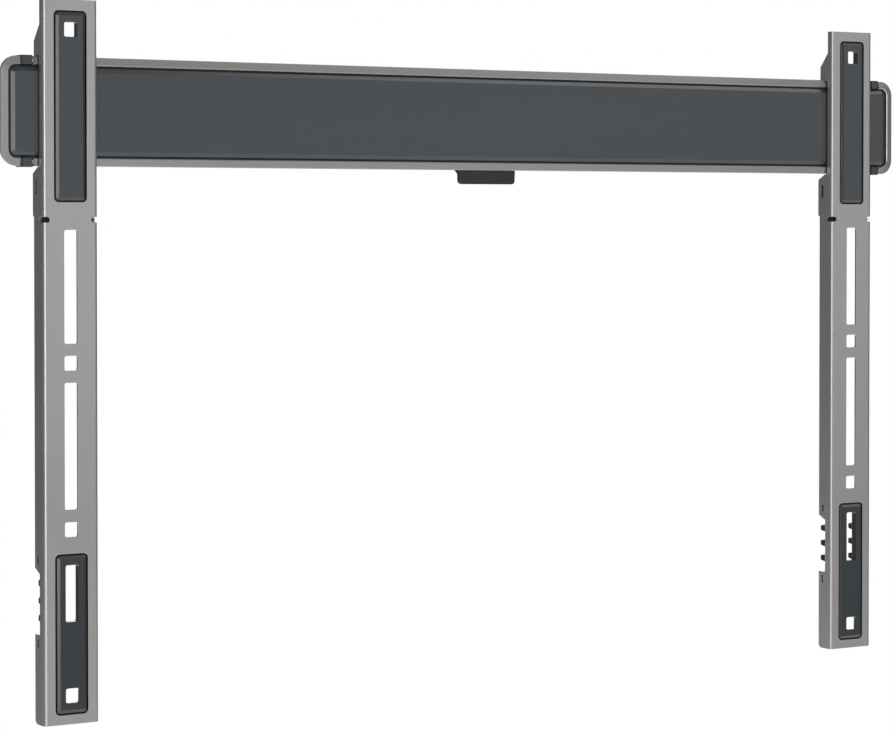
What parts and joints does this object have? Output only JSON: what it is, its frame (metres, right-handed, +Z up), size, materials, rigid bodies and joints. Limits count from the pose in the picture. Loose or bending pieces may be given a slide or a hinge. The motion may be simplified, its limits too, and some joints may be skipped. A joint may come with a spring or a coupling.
{
  "type": "tv mount",
  "caption": "Slim flat wall mount for a television: a covered rail with end stops, and upright folded arms that hook over it and latch under it.",
  "frame": {"origin": "centre of the rail on the wall face", "axes": "+X along the rail, +Y into the wall, +Z up; the arms and the television are on the -Y side"},
  "size_m": [0.684, 0.0269, 0.4353],
  "materials": {
    "rail_paint": "satin silver-grey powder coat",
    "channel_steel": "satin grey powder coat",
    "cover_plastic": "fine matt moulding",
    "trim_plastic": "fine matt moulding",
    "tab_plastic": "fine matt moulding",
    "arm_paint": "satin silver-grey powder coat",
    "insert_plastic": "fine matt moulding",
    "black_plastic": "plain black moulding",
    "latch_plastic": "hard grey moulding",
    "spring_steel": "bright wire"
  },
  "bodies": {
    "rail": {"rail_plate": "rail_paint", "rail_channel": "channel_steel", "rail_cover": "cover_plastic", "left_end_stop": "trim_plastic", "right_end_stop": "trim_plastic", "centre_tab": "tab_plastic"},
    "left_arm": {"left_arm": "arm_paint", "left_upper_insert": "insert_plastic", "left_lower_insert": "insert_plastic", "left_toothed_frame": "black_plastic", "left_latch_housing": "black_plastic", "left_latch_spring": "spring_steel"},
    "left_latch": {"left_latch": "latch_plastic"},
    "right_arm": {"right_arm": "arm_paint", "right_upper_insert": "insert_plastic", "right_lower_insert": "insert_plastic", "right_toothed_frame": "black_plastic", "right_latch_housing": "black_plastic", "right_latch_spring": "spring_steel"},
    "right_latch": {"right_latch": "latch_plastic"}
  },
  "joints": [
    {"name": "left_arm_slide", "type": "slide", "parent": "rail", "child": "left_arm", "axis": [1, 0, 0], "range_m": [-0.003, 0.25]},
    {"name": "left_latch_slide", "type": "slide", "parent": "left_arm", "child": "left_latch", "axis": [0, 0, 1], "range_m": [-0.0045, 0], "stiffness_N_per_m": 400, "springref_m": 0.004, "deforming": ["left_latch_spring"]},
    {"name": "right_arm_slide", "type": "slide", "parent": "rail", "child": "right_arm", "axis": [1, 0, 0], "range_m": [-0.25, 0.003]},
    {"name": "right_latch_slide", "type": "slide", "parent": "right_arm", "child": "right_latch", "axis": [0, 0, 1], "range_m": [-0.0045, 0], "stiffness_N_per_m": 400, "springref_m": 0.004, "deforming": ["right_latch_spring"]}
  ]
}
